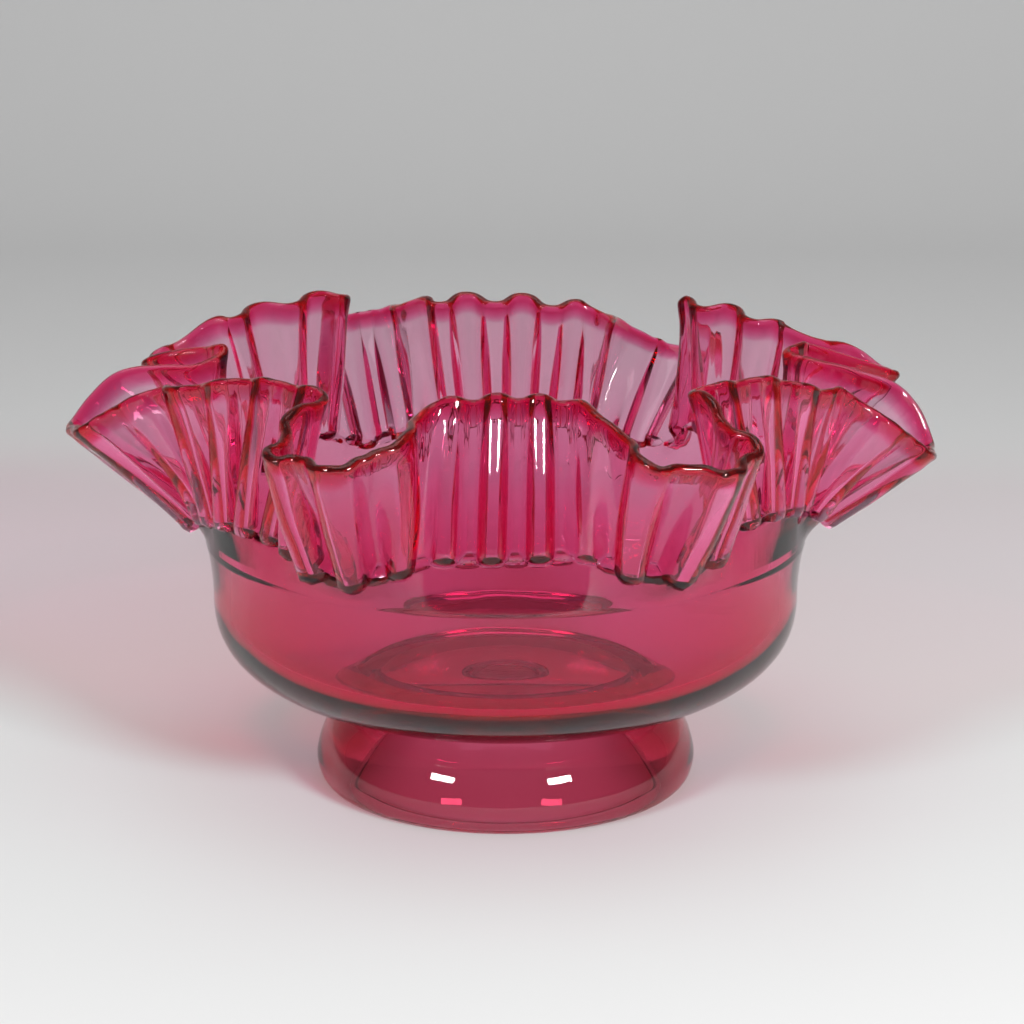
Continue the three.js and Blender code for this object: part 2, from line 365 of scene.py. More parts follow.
def turned_rings(profile: np.ndarray, columns: int) -> np.ndarray:
    """Turns a profile about the bowl's axis.

    Args:
        profile: Points of radius and height.
        columns: How many points each ring has.

    Returns:
        Rings of points, one for each point of the profile.
    """
    angle = np.linspace(0, 2 * math.pi, columns, endpoint=False)
    radius, height = profile[:, 0, None], profile[:, 1, None]
    flat = np.broadcast_to(height, (len(profile), columns))
    return np.stack([radius * np.cos(angle), radius * np.sin(angle), flat], axis=2)


def glass_piece(
    name: str,
    bands: list[Band],
    finishes: list[bpy.types.Material],
    replaced: tuple[str, ...] = (),
    closed_loop: bool = True,
) -> bpy.types.Object:
    """Joins bands into one closed piece of glass that rides on the bowl.

    Each band starts on the last ring of the band before it. A closed loop ends on the first ring, and
    any other piece is capped at both ends.

    Args:
        name: The piece's name.
        bands: The skins, in order.
        finishes: The glass and, where the piece has fused faces, their finish.
        replaced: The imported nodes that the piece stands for.
        closed_loop: Whether the last ring is the first one.

    Returns:
        The piece.
    """
    columns = bands[0].rings.shape[1]
    rings, faces, corners, slots = [], [], [], []
    for band in bands:
        points, normals = band.points(), band.normals()
        start = len(rings) - 1 if rings else 0
        rings.extend(points[1:] if rings else points)
        for row in range(len(points) - 1):
            for column in range(columns):
                beside = (column + 1) % columns
                spots = [(row, column), (row, beside), (row + 1, beside), (row + 1, column)]
                faces.append([(start + r) * columns + c for r, c in spots])
                corners.extend(normals[r, c] for r, c in spots)
                slots.append(band.face.value)
    if closed_loop:
        rings.pop()
        faces = [[corner % (len(rings) * columns) for corner in face] for face in faces]
    else:
        for ring, way, band in ((0, -1, bands[0]), (len(rings) - 1, 1, bands[-1])):
            order = range(columns)[::way]
            faces.append([ring * columns + column for column in order])
            corners.extend([cap_normal(rings[ring][order])] * columns)
            slots.append(band.face.value)
    mesh = bpy.data.meshes.new(name)
    mesh.from_pydata(np.array(rings).reshape(-1, 3).tolist(), [], faces)
    mesh.polygons.foreach_set("material_index", slots)
    mesh.polygons.foreach_set("use_smooth", [True] * len(faces))
    mesh.normals_split_custom_set(corners)
    for finish in finishes:
        mesh.materials.append(finish)
    mesh.update()
    piece = new_object(name, mesh)
    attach(piece, ROOT)
    if replaced:
        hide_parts(*replaced)
    log.info("%s: %d faces", name, len(faces))
    return piece


def cap_normal(ring: np.ndarray) -> np.ndarray:
    """The direction that a flat cap faces.

    Args:
        ring: The cap's corners in order.

    Returns:
        A unit vector.
    """
    middle = ring.mean(axis=0)
    normal = np.cross(ring - middle, np.roll(ring, -1, axis=0) - middle).sum(axis=0)
    return normal / np.linalg.norm(normal)


@dataclass
class Body:
    """The round body: a clear casing with the ruby lining sunk into its inner skin.

    The seam is the hair's breadth between fused faces, and the axis radius that of the innermost ring.
    Guides are the points past the neck that shape a skin's shading where the frill takes over.
    """

    seat_radius: float = 45 * MM
    radius: float = 85.3 * MM
    belly_depth: float = 34.5 * MM
    squareness: float = 2.6
    neck_rise: float = 16 * MM
    neck_flare: float = 1.8 * MM
    wall: float = 4.6 * MM
    belly_wall: float = 4.8 * MM
    floor: float = 7 * MM
    inside_floor_radius: float = 41 * MM
    ruby_skin: float = 0.06 * MM
    ruby_at_floor: float = 0.8 * MM
    ruby_at_belly: float = 1.5 * MM
    ruby_at_neck: float = 0.75 * MM
    seam: float = 0.02 * MM
    axis_radius: float = 0.4 * MM
    guides: int = 2
    columns: int = 288
    belly_rings: int = 72
    neck_rings: int = 9
    floor_rings: int = 24
    seat_rings: int = 5
    foot_height: float = field(default_factory=lambda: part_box("foot_ring")[1].z)

    def squared_ellipse(self, share: np.ndarray) -> np.ndarray:
        """The height of a squared ellipse of unit size at a share of its radius."""
        return np.power(np.maximum(1 - np.power(share, self.squareness), 0), 1 / self.squareness)

    @property
    def widest_height(self) -> float:
        """The height at which the body is widest."""
        rise = float(self.squared_ellipse(np.array(self.seat_radius / self.radius)))
        return self.foot_height + self.belly_depth * rise

    @property
    def neck_height(self) -> float:
        """The height at which the frill begins."""
        return self.widest_height + self.neck_rise

    @property
    def neck_radius(self) -> float:
        """The outer radius where the frill begins."""
        return self.radius + self.neck_flare

    def belly(self, radius: float, start: float, bottom: float) -> np.ndarray:
        """A belly curve from a start radius up to the widest height.

        Args:
            radius: The radius at the widest height.
            start: The radius at the foot of the curve.
            bottom: How far the whole curve reaches below the widest height on the axis.

        Returns:
            Points of radius and height.
        """
        angle = np.linspace(0, math.pi / 2, self.belly_rings)
        at = start + (radius - start) * np.sin(angle)
        return np.stack([at, self.widest_height - bottom * self.squared_ellipse(at / radius)], axis=1)

    def neck(self, inset: float, inset_at_neck: float, rise: np.ndarray) -> np.ndarray:
        """The neck above the widest height.

        Args:
            inset: How far the skin lies inside the outer one at the widest height.
            inset_at_neck: How far it lies inside where the frill begins.
            rise: Heights over the widest height.

        Returns:
            Points of radius and height.
        """
        share = rise / self.neck_rise
        flare = self.neck_flare * np.square(share) - inset - (inset_at_neck - inset) * share
        return np.stack([self.radius + flare, self.widest_height + rise], axis=1)

    def neck_rises(self, guides: int) -> np.ndarray:
        """Heights over the widest height of the neck's rings, and of guide rings a millimetre apart."""
        neck = np.linspace(0, self.neck_rise - self.seam, self.neck_rings)[1:]
        return np.concatenate([neck, self.neck_rise + MM * np.arange(1, guides + 1)])

    def flat(self, start: float, end: float, height: float, count: int) -> np.ndarray:
        """A level run of points of radius and height."""
        return np.stack([np.linspace(start, end, count), np.full(count, height)], axis=1)

    def outside(self, guides: int) -> np.ndarray:
        """The outer skin from the seat to the neck, and guide points past it."""
        belly = self.belly(self.radius, self.seat_radius, self.belly_depth)
        return np.vstack([belly, self.neck(0, 0, self.neck_rises(guides))])

    def inside(self, skin: float, floor_height: float, guides: int = 0) -> np.ndarray:
        """An inner skin from the axis to the neck.

        Args:
            skin: How far it lies under the glass's inner surface.
            floor_height: The height of the flat floor.
            guides: How many guide points there are past the neck.

        Returns:
            Points of radius and height.
        """
        inset = self.belly_wall - skin
        radius = self.radius - inset
        depth = self.widest_height - floor_height
        start = float(self.squared_ellipse(np.array(self.inside_floor_radius / radius)))
        flat = self.flat(self.axis_radius, self.inside_floor_radius, floor_height, self.floor_rings)
        curve = self.belly(radius, self.inside_floor_radius, depth / start)
        neck = self.neck(inset, self.wall - skin, self.neck_rises(guides))
        return np.vstack([flat[:-1], curve, neck])

    def build(self, scar_radius: float, hollow_radius: float) -> list[bpy.types.Object]:
        """Makes the casing and the lining.

        Args:
            scar_radius: The radius of the scar that is fused under the floor.
            hollow_radius: The inner radius of the foot at the seat.

        Returns:
            The two pieces.
        """
        guides, seat = self.guides, self.foot_height
        outer = turned_rings(self.outside(guides), self.columns)
        inner = turned_rings(self.inside(0, seat + self.floor, guides), self.columns)
        outer_band = Band(outer, guides_after=guides)
        inner_band = Band(inner[::-1], guides_before=guides)
        bands = [
            self.level_band(self.axis_radius, scar_radius, seat, Face.FUSED),
            self.level_band(scar_radius, hollow_radius, seat, Face.GLASS),
            self.level_band(hollow_radius, self.seat_radius, seat, Face.FUSED),
            outer_band,
            Band(np.stack([outer_band.points()[-1], inner_band.points()[0]]), Face.FUSED),
            inner_band,
        ]
        finishes = [CLEAR.build(), FusedFace().build()]
        casing = glass_piece(
            "body_glass", bands, finishes, ("body_casing",), closed_loop=False
        )
        return [casing, self.lining()]

    def level_band(self, start: float, end: float, height: float, face: Face) -> Band:
        """A flat band between two radii."""
        return Band(turned_rings(self.flat(start, end, height, self.seat_rings), self.columns), face)

    def lining(self) -> bpy.types.Object:
        """Makes the ruby lining, thickest low in the belly and thinner at the floor and the neck."""
        top = self.neck_height - self.seam
        floor = self.foot_height + self.floor
        near = self.inside(self.ruby_skin, floor - self.ruby_skin)
        places = [floor, (floor + self.widest_height) / 2, top]
        layers = [self.ruby_at_floor, self.ruby_at_belly, self.ruby_at_neck]
        thickness = np.interp(near[:, 1], places, layers)
        far = near + profile_side(near) * thickness[:, None]
        far[:, 0] = np.maximum(far[:, 0], self.axis_radius)
        far[0, 0] = self.axis_radius
        far[-1, 1] = top
        skins = [
            Band(turned_rings(far, self.columns)),
            Band(turned_rings(np.stack([far[-1], near[-1]]), self.columns)),
            Band(turned_rings(near[::-1], self.columns)),
        ]
        return glass_piece(
            "ruby_glass_lining", skins, [RUBY.build()], ("ruby_lining",), closed_loop=False
        )


def profile_side(profile: np.ndarray) -> np.ndarray:
    """The directions square to a profile that climbs outward, on its outer and lower side.

    Args:
        profile: Points of radius and height.

    Returns:
        Unit vectors of radius and height.
    """
    along = np.gradient(profile, axis=0)
    along /= np.linalg.norm(along, axis=1, keepdims=True)
    return np.stack([along[:, 1], -along[:, 0]], axis=1)


@dataclass(frozen=True)
class Lobe:
    """A lobe of the rim: its place along the frill, and its tip's bearing, reach and rise.

    A small lobe may be tucked in before or after it, and its side rises sooner there.
    """

    turn: float
    bearing: float
    reach: float
    rise: float
    tucked_before: bool = False
    tucked_after: bool = False


@dataclass(frozen=True)
class Fold:
    """A lobe and the crest after it: a start, a middle and an end, each of bearing, reach and rise."""

    lobe: Lobe
    crest: tuple[tuple[float, float, float], ...]


# Reaches and rises are shares of the frill's lobe and crest sizes
FOLDS = (
    Fold(
        Lobe(0, -1, 1.055, 0.66, tucked_after=True),
        ((4, 1.15, 0.84), (8.5, 1.05, 0.9), (13, 1.125, 0.9)),
    ),
    Fold(
        Lobe(20, 15, 1.03, 1.0),
        ((21, 1.1, 0.96), (35, 1.025, 1), (49, 1, 1)),
    ),
    Fold(
        Lobe(60, 58, 1, 0.825),
        ((70, 0.95, 0.93), (90, 0.925, 0.965), (109, 0.95, 0.965)),
    ),
    Fold(
        Lobe(120, 118, 0.95, 1.1),
        ((128, 1, 1.035), (144, 1.04, 1.03), (159, 1.125, 1)),
    ),
    Fold(
        Lobe(160, 165, 0.95, 1.1),
        ((168, 1.125, 0.9), (172, 1.03, 0.91), (176, 1.125, 0.85)),
    ),
    Fold(
        Lobe(180, 180.5, 1.07, 0.82, tucked_before=True),
        ((195, 1.225, 0.87), (214, 1.05, 0.98), (233, 1, 0.98)),
    ),
    Fold(
        Lobe(240, 243, 0.965, 1.12),
        ((256, 0.95, 0.98), (271, 0.925, 1.0), (286, 0.95, 0.98)),
    ),
    Fold(
        Lobe(300, 300, 0.98, 1.075),
        ((309, 1, 0.98), (327, 1.06, 0.98), (344, 1.2, 0.86)),
    ),
)


def wrapped(degrees: float) -> float:
    """An angle from -180 up to 180 degrees."""
    return (degrees + 540) % 360 - 180


def mixed(start: np.ndarray | float, end: np.ndarray | float, share: np.ndarray | float) -> np.ndarray:
    """The value at a share of the way from a start to an end."""
    return start + (end - start) * share


def smooth_step(value: np.ndarray, low: np.ndarray | float, high: np.ndarray | float) -> np.ndarray:
    """A share that runs smoothly from 0 at a low value to 1 at a high one."""
    t = np.clip((value - low) / (high - low), 0, 1)
    return t * t * (3 - 2 * t)


class Rim(Enum):
    """What the rim says at each turn along the frill, as columns of its table of stations."""

    OFFSET = 0
    REACH = 1
    RISE = 2
    LOBE = 3
    FLUTING = 4


@dataclass
class Frill:
    """The crimped frill: a wall that is drawn out and folded into lobes, and fluted all round.

    The rows of lobe_side and tucked_side are stations between a lobe's tip and the crest beside it.
    Each gives the share of the way along the frill, the shares of the way that the bearing, reach and
    rise have gone there, and the share of the flutes' depth.
    """

    body: Body
    lobe_reach: float = 116 * MM
    lobe_rise: float = 40 * MM
    crest_reach: float = 80 * MM
    crest_rise: float = 56 * MM
    rim_wave: float = 0.7 * MM
    flutes: int = 50
    flute_phase: float = 1.4
    flute_gather: float = 4.7
    flute_calm: float = 0.3
    wall: float = 2.2 * MM
    rim_wall: float = 3 * MM
    bead_start: float = 0.9
    flute_depth: float = 3.8 * MM
    flute_depth_at_rim: float = 1.8 * MM
    flute_depth_at_lobe_rim: float = 2.2 * MM
    flute_fade: float = 0.5
    squareness: float = 1.7
    squareness_at_lobe: float = 1.8
    rib: float = 1.2 * MM
    flute_tip: float = 0.27
    flute_tip_at_lobe: float = 0.2
    flute_tip_tilt: float = 0.04
    flute_tip_span: float = 0.045
    crest_lean: float = 1.5
    lobe_spring: float = 0.06
    open_pitch: float = 40
    probe_turn: float = 0.05
    probe_share: float = 0.01
    columns_per_flute: int = 20
    rows: int = 72
    lip_rows: int = 9
    ruby_skin: float = 0.06 * MM
    ruby_in_wall: float = 0.6 * MM
    ruby_under_bead: float = 0.42 * MM
    clear_over_bead: float = 0.45 * MM
    lobe_side: tuple[tuple[float, ...], ...] = (
        (0.2, 0.6, 0.08, 0.12, 1),
        (0.36, 0.83, 0.4, 0.5, 0.9),
        (0.5, 0.95, 0.8, 0.85, 0.6),
        (0.58, 1.05, 0.98, 0.98, 0.6),
        (0.66, 1.3, 1.03, 1.02, 0.9),
    )
    tucked_side: tuple[tuple[float, ...], ...] = (
        (0.2, 0.35, 0.13, 0.45, 1),
        (0.38, 0.6, 0.35, 0.82, 0.8),
        (0.6, 0.88, 0.75, 0.95, 0.4),
        (0.76, 1.1, 1.0, 1.01, 0.3),
    )

    def __post_init__(self) -> None:
        """Works out the rim's stations, once."""
        self.turns, self.table = self.stations()

    @property
    def columns(self) -> int:
        """How many points each ring has."""
        return self.flutes * self.columns_per_flute

    def crowding(self, pitch: float) -> float:
        """How far the flutes stand out between lobes of a pitch: they lie flatter where it is small."""
        return min(1.0, pitch / self.open_pitch)

    def stations(self) -> tuple[np.ndarray, np.ndarray]:
        """The rim's stations all round.

        Returns:
            Their turns along the frill, in order, and their values in the order of Rim.
        """
        rows = []
        for index, fold in enumerate(FOLDS):
            lobe, last = fold.lobe, FOLDS[index - 1]
            following = FOLDS[(index + 1) % len(FOLDS)].lobe
            to_next = (following.turn - lobe.turn) % 360
            to_last = (lobe.turn - last.lobe.turn) % 360
            reach, rise = lobe.reach * self.lobe_reach, lobe.rise * self.lobe_rise
            flatter = self.crowding(min(to_next, to_last))
            rows.append((lobe.turn, wrapped(lobe.bearing - lobe.turn), reach, rise, 1.0, flatter))
            sides = (
                (fold.crest[0], to_next / 2, lobe.tucked_after),
                (last.crest[-1], -to_last / 2, lobe.tucked_before),
            )
            for end, way, tucked in sides:
                end_reach, end_rise = end[1] * self.crest_reach, end[2] * self.crest_rise
                side = self.tucked_side if tucked else self.lobe_side
                for along, round_share, inward, up, fluting in side:
                    turn = lobe.turn + way * along
                    bearing = lobe.bearing + wrapped(end[0] - lobe.bearing) * round_share
                    rows.append(
                        (
                            turn,
                            wrapped(bearing - turn),
                            reach + (end_reach - reach) * inward,
                            rise + (end_rise - rise) * up,
                            max(0.0, 1 - 2 * along),
                            fluting * self.crowding(2 * abs(way)),
                        )
                    )
            bearing, middle_reach, middle_rise = fold.crest[1]
            turn = lobe.turn + to_next / 2
            offset = wrapped(bearing - turn)
            middle = (turn, offset, middle_reach * self.crest_reach, middle_rise * self.crest_rise)
            rows.append((*middle, 0.0, self.crowding(to_next)))
        ordered = np.array(sorted(rows))
        return ordered[:, 0], ordered[:, 1:]

    def rim(self, turn: np.ndarray, what: Rim) -> np.ndarray:
        """A value of the rim, smooth between its stations and through each of them.

        Args:
            turn: Turns along the frill.
            what: Which value.

        Returns:
            The values at those turns.
        """
        turns = np.concatenate([self.turns[-2:] - 360, self.turns, self.turns[:3] + 360])
        column = self.table[:, what.value]
        values = np.concatenate([column[-2:], column, column[:3]])
        place = self.turns[0] + (turn - self.turns[0]) % 360
        index = np.clip(np.searchsorted(turns, place, side="right") - 1, 1, len(turns) - 3)
        span = turns[index + 1] - turns[index]
        t = (place - turns[index]) / span
        start, end = values[index], values[index + 1]
        slope = (end - values[index - 1]) / (turns[index + 1] - turns[index - 1]) * span
        next_slope = (values[index + 2] - start) / (turns[index + 2] - turns[index]) * span
        t2, t3 = t * t, t * t * t
        first = (2 * t3 - 3 * t2 + 1) * start + (t3 - 2 * t2 + t) * slope
        return first + (3 * t2 - 2 * t3) * end + (t3 - t2) * next_slope

    def plain_wall(self, turn: np.ndarray, share: np.ndarray) -> np.ndarray:
        """The middle of the wall before it is fluted.

        Args:
            turn: Turns along the frill.
            share: Shares of the way from the neck to the rim.

        Returns:
            A point for each.
        """
        middle = self.body.neck_radius - self.body.wall / 2
        lobe = self.rim(turn, Rim.LOBE)
        spring = share * (1 + self.lobe_spring) / (share + self.lobe_spring)
        lean = mixed(self.crest_lean, 1.0, lobe)
        outward = np.power(np.maximum(share, 0), lean) * mixed(1.0, spring, lobe)
        radius = mixed(middle, self.rim(turn, Rim.REACH), outward)
        bearing = np.radians(turn + self.rim(turn, Rim.OFFSET) * share)
        height = self.body.neck_height + self.rim(turn, Rim.RISE) * share
        return np.stack([radius * np.cos(bearing), radius * np.sin(bearing), height], axis=-1)

    def directions(
        self,
        wall: Callable[[np.ndarray, np.ndarray], np.ndarray],
        at: np.ndarray,
        share: np.ndarray,
    ) -> tuple[np.ndarray, np.ndarray]:
        """The directions square to a wall and up it.

        Args:
            wall: A function of angles round the frill and shares that gives points.
            at: The angles.
            share: Shares of the way from the neck to the rim.

        Returns:
            Unit vectors outward and upward.
        """
        step, climb = self.probe_turn, self.probe_share
        sideways = wall(at + step, share) - wall(at - step, share)
        upward = wall(at, np.minimum(share + climb, 1)) - wall(at, np.maximum(share - climb, 0))
        normal = np.cross(sideways, upward)
        normal /= np.linalg.norm(normal, axis=-1, keepdims=True)
        return normal, upward / np.linalg.norm(upward, axis=-1, keepdims=True)

    def turn_at(self, place: np.ndarray) -> np.ndarray:
        """The turn at a place along the flutes, which are evenly spaced in place and not in turn."""
        return place - self.flute_gather * np.sin(np.radians(2 * place))

    def fluted_wall(self, place: np.ndarray, share: np.ndarray) -> np.ndarray:
        """The middle of the fluted wall.

        Args:
            place: Places along the flutes.
            share: Shares of the way from the neck to the rim.

        Returns:
            A point for each.
        """
        turn = self.turn_at(place)
        lobe = self.rim(turn, Rim.LOBE)
        grown = self.grown(turn, share)
        at_rim = mixed(self.flute_depth_at_rim, self.flute_depth_at_lobe_rim, lobe)
        faded = smooth_step(share, self.flute_fade, 1.0)
        calm = 1 - self.flute_calm * (1 + np.cos(np.radians(2 * place))) / 2
        depth = grown * mixed(self.flute_depth, at_rim, faded) * self.rim(turn, Rim.FLUTING) * calm
        wave = self.wave(place)
        squareness = mixed(self.squareness, self.squareness_at_lobe, lobe)
        push = depth * np.tanh(squareness * wave) / np.tanh(squareness)
        normal, _ = self.directions(self.plain_wall, turn, share)
        points = self.plain_wall(turn, share) + normal * push[..., None]
        points[..., 2] += self.rim_wave * wave * faded
        return points

    def wave(self, place: np.ndarray) -> np.ndarray:
        """The flutes' wave: 1 in the middle of a finger and -1 between two."""
        return np.cos(np.radians(self.flutes * (place - self.flute_phase)))

    def grown(self, turn: np.ndarray, share: np.ndarray) -> np.ndarray:
        """How far the flutes are grown: 0 under their tips and 1 over them."""
        tip = mixed(self.flute_tip, self.flute_tip_at_lobe, self.rim(turn, Rim.LOBE))
        tip = tip + self.flute_tip_tilt * np.cos(np.radians(turn))
        half = self.flute_tip_span / 2
        return smooth_step(share, tip - half, tip + half)

    def ribs(self, place: np.ndarray, share: np.ndarray) -> np.ndarray:
        """How much thicker the glass is outside, along the fingers' middles and not at the rim."""
        bulge = np.square(0.5 + 0.5 * self.wave(place)) * (1 - smooth_step(share, self.bead_start, 1.0))
        return self.rib * bulge * self.grown(self.turn_at(place), share)

    def thickness(self, share: np.ndarray) -> np.ndarray:
        """The wall's thickness, from the body's to the frill's and then that of the rim's bead."""
        drawn = mixed(self.body.wall, self.wall, np.clip(share / self.flute_tip, 0, 1))
        return mixed(drawn, self.rim_wall, smooth_step(share, self.bead_start, 1.0))

    def grid(self, shares: np.ndarray) -> tuple[np.ndarray, np.ndarray]:
        """Places along the flutes and shares, of a grid of points round the frill."""
        return np.meshgrid(np.linspace(0, 360, self.columns, endpoint=False), shares)

    def skin(self, shares: np.ndarray, side: float, inset: np.ndarray) -> np.ndarray:
        """Rings of points on a skin of the wall.

        Args:
            shares: Shares of the way from the neck to the rim.
            side: 1 for the outside and -1 for the inside.
            inset: How far the skin lies inside that side of the glass, for each share.

        Returns:
            The rings, from the neck up.
        """
        place, share = self.grid(shares)
        normal, _ = self.directions(self.fluted_wall, place, share)
        away = self.thickness(share) / 2 - inset[:, None]
        if side > 0:
            away = away + self.ribs(place, share)
        points = self.fluted_wall(place, share) + normal * (side * away)[..., None]
        level = share <= 0
        radius = self.body.neck_radius - (self.body.wall / 2 - side * away)
        angle = np.radians(self.turn_at(place))
        foot = np.stack([radius * np.cos(angle), radius * np.sin(angle), points[..., 2] * 0], axis=-1)
        foot[..., 2] = self.body.neck_height
        return np.where(level[..., None], foot, points)

    def lip(self, depth: float, steps: int) -> np.ndarray:
        """Rings of points over the round lip, from the outside to the inside.

        Args:
            depth: How far the rings lie inside the glass.
            steps: How many rings there are between the two sides.

        Returns:
            The rings, without the two that lie on the sides.
        """
        place, share = self.grid(np.array([1.0]))
        normal, upward = self.directions(self.fluted_wall, place, share)
        middle = self.fluted_wall(place, share)
        half = self.rim_wall / 2 - depth
        angles = np.linspace(0, math.pi, steps + 2)[1:-1]
        ways = [normal * math.cos(a) + upward * math.sin(a) for a in angles]
        return np.concatenate([middle + way * half for way in ways])

    def build(self) -> list[bpy.types.Object]:
        """Makes the frill's glass and the ruby in it.

        Returns:
            The two pieces.
        """
        shares = np.linspace(0, 1, self.rows)
        none = np.zeros(self.rows)
        outer, inner = self.skin(shares, 1, none), self.skin(shares, -1, none)[::-1]
        below = self.guide_rings()
        walls = np.concatenate([below[0], outer, self.lip(0, self.lip_rows), inner, below[1]])
        bands = [
            Band(walls, guides_before=len(below[0]), guides_after=len(below[1])),
            Band(np.stack([inner[-1], outer[0]]), Face.FUSED),
        ]
        finishes = [CRIMPED.build(), bpy.data.materials[FusedFace.name]]
        glass = glass_piece("frill_glass", bands, finishes, ("crimped_frill",))
        return [glass, self.ruby(shares)]

    def guide_rings(self) -> tuple[np.ndarray, np.ndarray]:
        """Rings of the body's skins just under the frill: the outer's going up, the inner's down."""
        rise = self.body.neck_rise - np.arange(self.body.guides, 0, -1) * MM
        outer = self.body.neck(0, 0, rise)
        inner = self.body.neck(self.body.belly_wall, self.body.wall, rise)
        return turned_rings(outer, self.columns), turned_rings(inner, self.columns)[::-1]

    def ruby(self, shares: np.ndarray) -> bpy.types.Object:
        """Makes the ruby layer in the frill, which thins upward and is round at the rim.

        Args:
            shares: Shares of the way from the neck to the rim, for its rings.

        Returns:
            The piece.
        """
        in_bead = self.rim_wall - self.ruby_skin - self.clear_over_bead
        places = [0, self.flute_tip, self.bead_start, 1]
        layers = [self.body.ruby_at_neck, self.ruby_in_wall, self.ruby_under_bead, in_bead]
        thickness = np.interp(shares, places, layers)
        near = self.skin(shares, -1, np.full(self.rows, self.ruby_skin))
        far = self.skin(shares, -1, self.ruby_skin + thickness)
        over = self.lip(self.clear_over_bead, self.lip_rows)
        bands = [Band(np.concatenate([far, over, near[::-1]])), Band(np.stack([near[0], far[0]]))]
        return glass_piece("frill_ruby", bands, [bpy.data.materials[RUBY.name]])


@dataclass
class Foot:
    """The applied foot ring of tinted glass, fused to the body at its seat."""

    body: Body
    radius: float = 56 * MM
    widest_height: float = 7 * MM
    base_outer_radius: float = 52 * MM
    base_inner_radius: float = 45 * MM
    hollow_middle: tuple[float, float] = (40 * MM, 10.4 * MM)
    hollow_top_radius: float = 37 * MM
    swell: float = 1.5
    columns: int = 288
    upper_rings: int = 40
    lower_rings: int = 14
    hollow_rings: int = 24

    def build(self) -> bpy.types.Object:
        """Makes the foot."""
        height, seat = self.body.foot_height - self.body.seam, self.body.seat_radius
        share = np.linspace(0, 1, self.upper_rings)
        swell = np.power(np.maximum(1 - np.power(share, self.swell), 0), 1 / self.swell)
        upper = np.stack(
            [mixed(seat, self.radius, swell), mixed(self.widest_height, height, share)], axis=1
        )
        angle = np.linspace(0, math.pi / 2, self.lower_rings)[:-1]
        lower = np.stack(
            [
                mixed(self.base_outer_radius, self.radius, np.sin(angle)),
                self.widest_height * (1 - np.cos(angle)),
            ],
            axis=1,
        )
        base = np.array([[self.base_inner_radius, 0], lower[0]])
        seat_face = np.array([upper[-1], [self.hollow_top_radius, height]])
        t = np.linspace(0, 1, self.hollow_rings)[:, None]
        pull = np.array(self.hollow_middle)
        hollow = (1 - t) ** 2 * seat_face[1] + 2 * t * (1 - t) * pull + t**2 * base[0]
        bands = [
            Band(turned_rings(base, self.columns)),
            Band(turned_rings(np.vstack([lower, upper]), self.columns)),
            Band(turned_rings(seat_face, self.columns), Face.FUSED),
            Band(turned_rings(hollow, self.columns)),
        ]
        finishes = [FOOT_GLASS.build(), bpy.data.materials[FusedFace.name]]
        return glass_piece("foot_glass", bands, finishes, ("foot_ring",))


@dataclass
class Scar:
    """The rough pad left under the floor where the iron was snapped off."""

    body: Body
    radius: float = 13 * MM
    depth: float = 1.6 * MM
    ring_radius: float = 10.4 * MM
    ring_width: float = 2.4 * MM
    ring_depth: float = 0.7 * MM
    first_radius: float = 2 * MM
    rings: int = 40
    columns: int = 96

    def build(self) -> bpy.types.Object:
        """Makes the scar."""
        top = self.body.foot_height - self.body.seam
        bottom = self.body.foot_height - self.depth
        axis = self.body.axis_radius
        radius = np.concatenate([[axis], np.linspace(self.first_radius, self.radius, self.rings)])
        hump = np.exp(-np.square((radius - self.ring_radius) / (self.ring_width / 2)))
        height = bottom + self.ring_depth * (1 - hump)
        under = np.stack([radius, height], axis=1)
        under[-1] = (self.radius, top)
        over = np.array([under[-1], [axis, top]])
        bands = [
            Band(turned_rings(under, self.columns)),
            Band(turned_rings(over, self.columns), Face.FUSED),
        ]
        finishes = [ROUGH.build(), bpy.data.materials[FusedFace.name]]
        return glass_piece(
            "pontil_scar_glass", bands, finishes, ("pontil_scar",), closed_loop=False
        )


@dataclass(frozen=True)
class Lamp:
    """A flat, soft lamp that faces the bowl, at a bearing to the right of the camera."""

    name: str
    bearing: float
    elevation: float
    distance: float
    width: float
    height: float
    watts: float

    def hang(self, aim: Vector) -> None:
        """Makes the lamp.

        Args:
            aim: The place that it faces.
        """
        light = bpy.data.lights.new(self.name, "AREA")
        light.shape = "RECTANGLE"
        light.size = self.width
        light.size_y = self.height
        light.energy = self.watts
        lamp = new_object(self.name, light)
        across, up = math.radians(self.bearing), math.radians(self.elevation)
        way = Vector((math.sin(across) * math.cos(up), -math.cos(across) * math.cos(up), math.sin(up)))
        lamp.location = aim + way * self.distance
        lamp.rotation_euler = way.to_track_quat("Z", "Y").to_euler()


LAMPS = (
    Lamp("key_left", -40, 22, 1.3, 0.32, 0.12, 8),
    Lamp("key_right", 34, 22, 1.3, 0.32, 0.12, 15),
    Lamp("overhead", 0, 88, 1.8, 1.5, 1.5, 9),
)


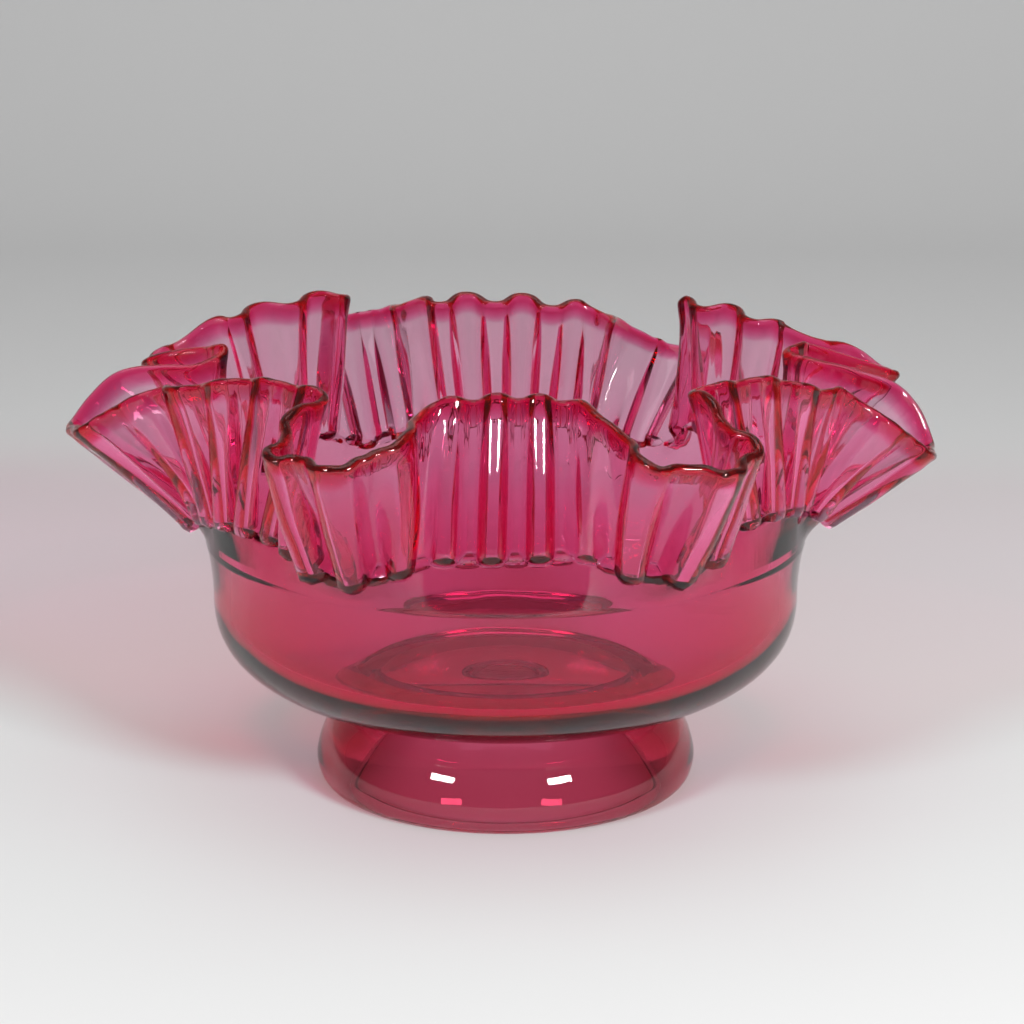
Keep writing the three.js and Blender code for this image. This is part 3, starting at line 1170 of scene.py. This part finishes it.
@dataclass
class Studio:
    """The pale floor and backdrop, the lamps and the camera."""

    floor_colour: tuple[float, float, float] = (0.8, 0.8, 0.8)
    room_level: float = 0.14
    half_width: float = 3.0
    front: float = -3.0
    bend_start: float = 0.9
    bend_radius: float = 0.7
    bend_points: int = 24
    top: float = 3.0
    floor_drop: float = 0.15 * MM
    camera_place: tuple[float, float, float] = (1.9 * MM, -821.0 * MM, 299.7 * MM)
    camera_target: tuple[float, float, float] = (1.9 * MM, 0.0, 79.7 * MM)
    lens: float = 102.5
    sensor: float = 36.0
    glass_bounces: int = 256
    matt_bounces: int = 3

    def build(self) -> None:
        """Makes the studio."""
        self.sweep()
        for lamp in LAMPS:
            lamp.hang(Vector(self.camera_target))
        self.world(self.room_level)
        self.camera()
        self.light_paths()

    def sweep(self) -> None:
        """A sheet of paper that runs back along the floor and curves up behind the bowl."""
        angle = np.linspace(0, math.pi / 2, self.bend_points)
        bend_y = self.bend_start + self.bend_radius * np.sin(angle)
        bend_z = self.bend_radius * (1 - np.cos(angle))
        run_y = np.concatenate([[self.front], bend_y, [self.bend_start + self.bend_radius]])
        run_z = np.concatenate([[0.0], bend_z, [self.top]]) - self.floor_drop
        points = [(x, y, z) for y, z in zip(run_y, run_z) for x in (-self.half_width, self.half_width)]
        faces = [(2 * i, 2 * i + 1, 2 * i + 3, 2 * i + 2) for i in range(len(run_y) - 1)]
        mesh = bpy.data.meshes.new("paper_sweep")
        mesh.from_pydata([tuple(map(float, p)) for p in points], [], faces)
        mesh.polygons.foreach_set("use_smooth", [True] * len(faces))
        mesh.materials.append(Paper("studio_paper", self.floor_colour).build())
        floor = new_object("paper_sweep", mesh)

    def world(self, level: float) -> None:
        """A plain grey room."""
        world = bpy.data.worlds.new("room")
        world.use_nodes = True
        background = world.node_tree.nodes["Background"]
        background.inputs["Color"].default_value = (level, level, level, 1.0)
        bpy.context.scene.world = world

    def camera(self) -> None:
        """The camera, at the photograph's angle."""
        data = bpy.data.cameras.new("camera")
        data.lens = self.lens
        data.sensor_width = self.sensor
        camera = new_object("camera", data)
        camera.location = self.camera_place
        back = Vector(self.camera_place) - Vector(self.camera_target)
        camera.rotation_euler = back.to_track_quat("Z", "Y").to_euler()
        bpy.context.scene.camera = camera

    def light_paths(self) -> None:
        """Lets light cross many walls of glass, and keeps the colours plain."""
        scene = bpy.context.scene
        scene.view_settings.view_transform = "Standard"
        cycles = scene.cycles
        cycles.max_bounces = self.glass_bounces
        cycles.transmission_bounces = self.glass_bounces
        cycles.glossy_bounces = self.glass_bounces
        cycles.transparent_max_bounces = 2 * self.glass_bounces
        cycles.diffuse_bounces = self.matt_bounces
        cycles.caustics_reflective = False
        cycles.caustics_refractive = False
        cycles.use_denoising = True


def main() -> None:
    """Builds the studio and the bowl."""
    logging.basicConfig(level=logging.INFO, format="%(name)s: %(message)s")
    Studio().build()
    body = Body()
    foot = Foot(body)
    scar = Scar(body)
    body.build(scar.radius, foot.hollow_top_radius)
    Frill(body).build()
    foot.build()
    scar.build()


if __name__ == "__main__":
    main()
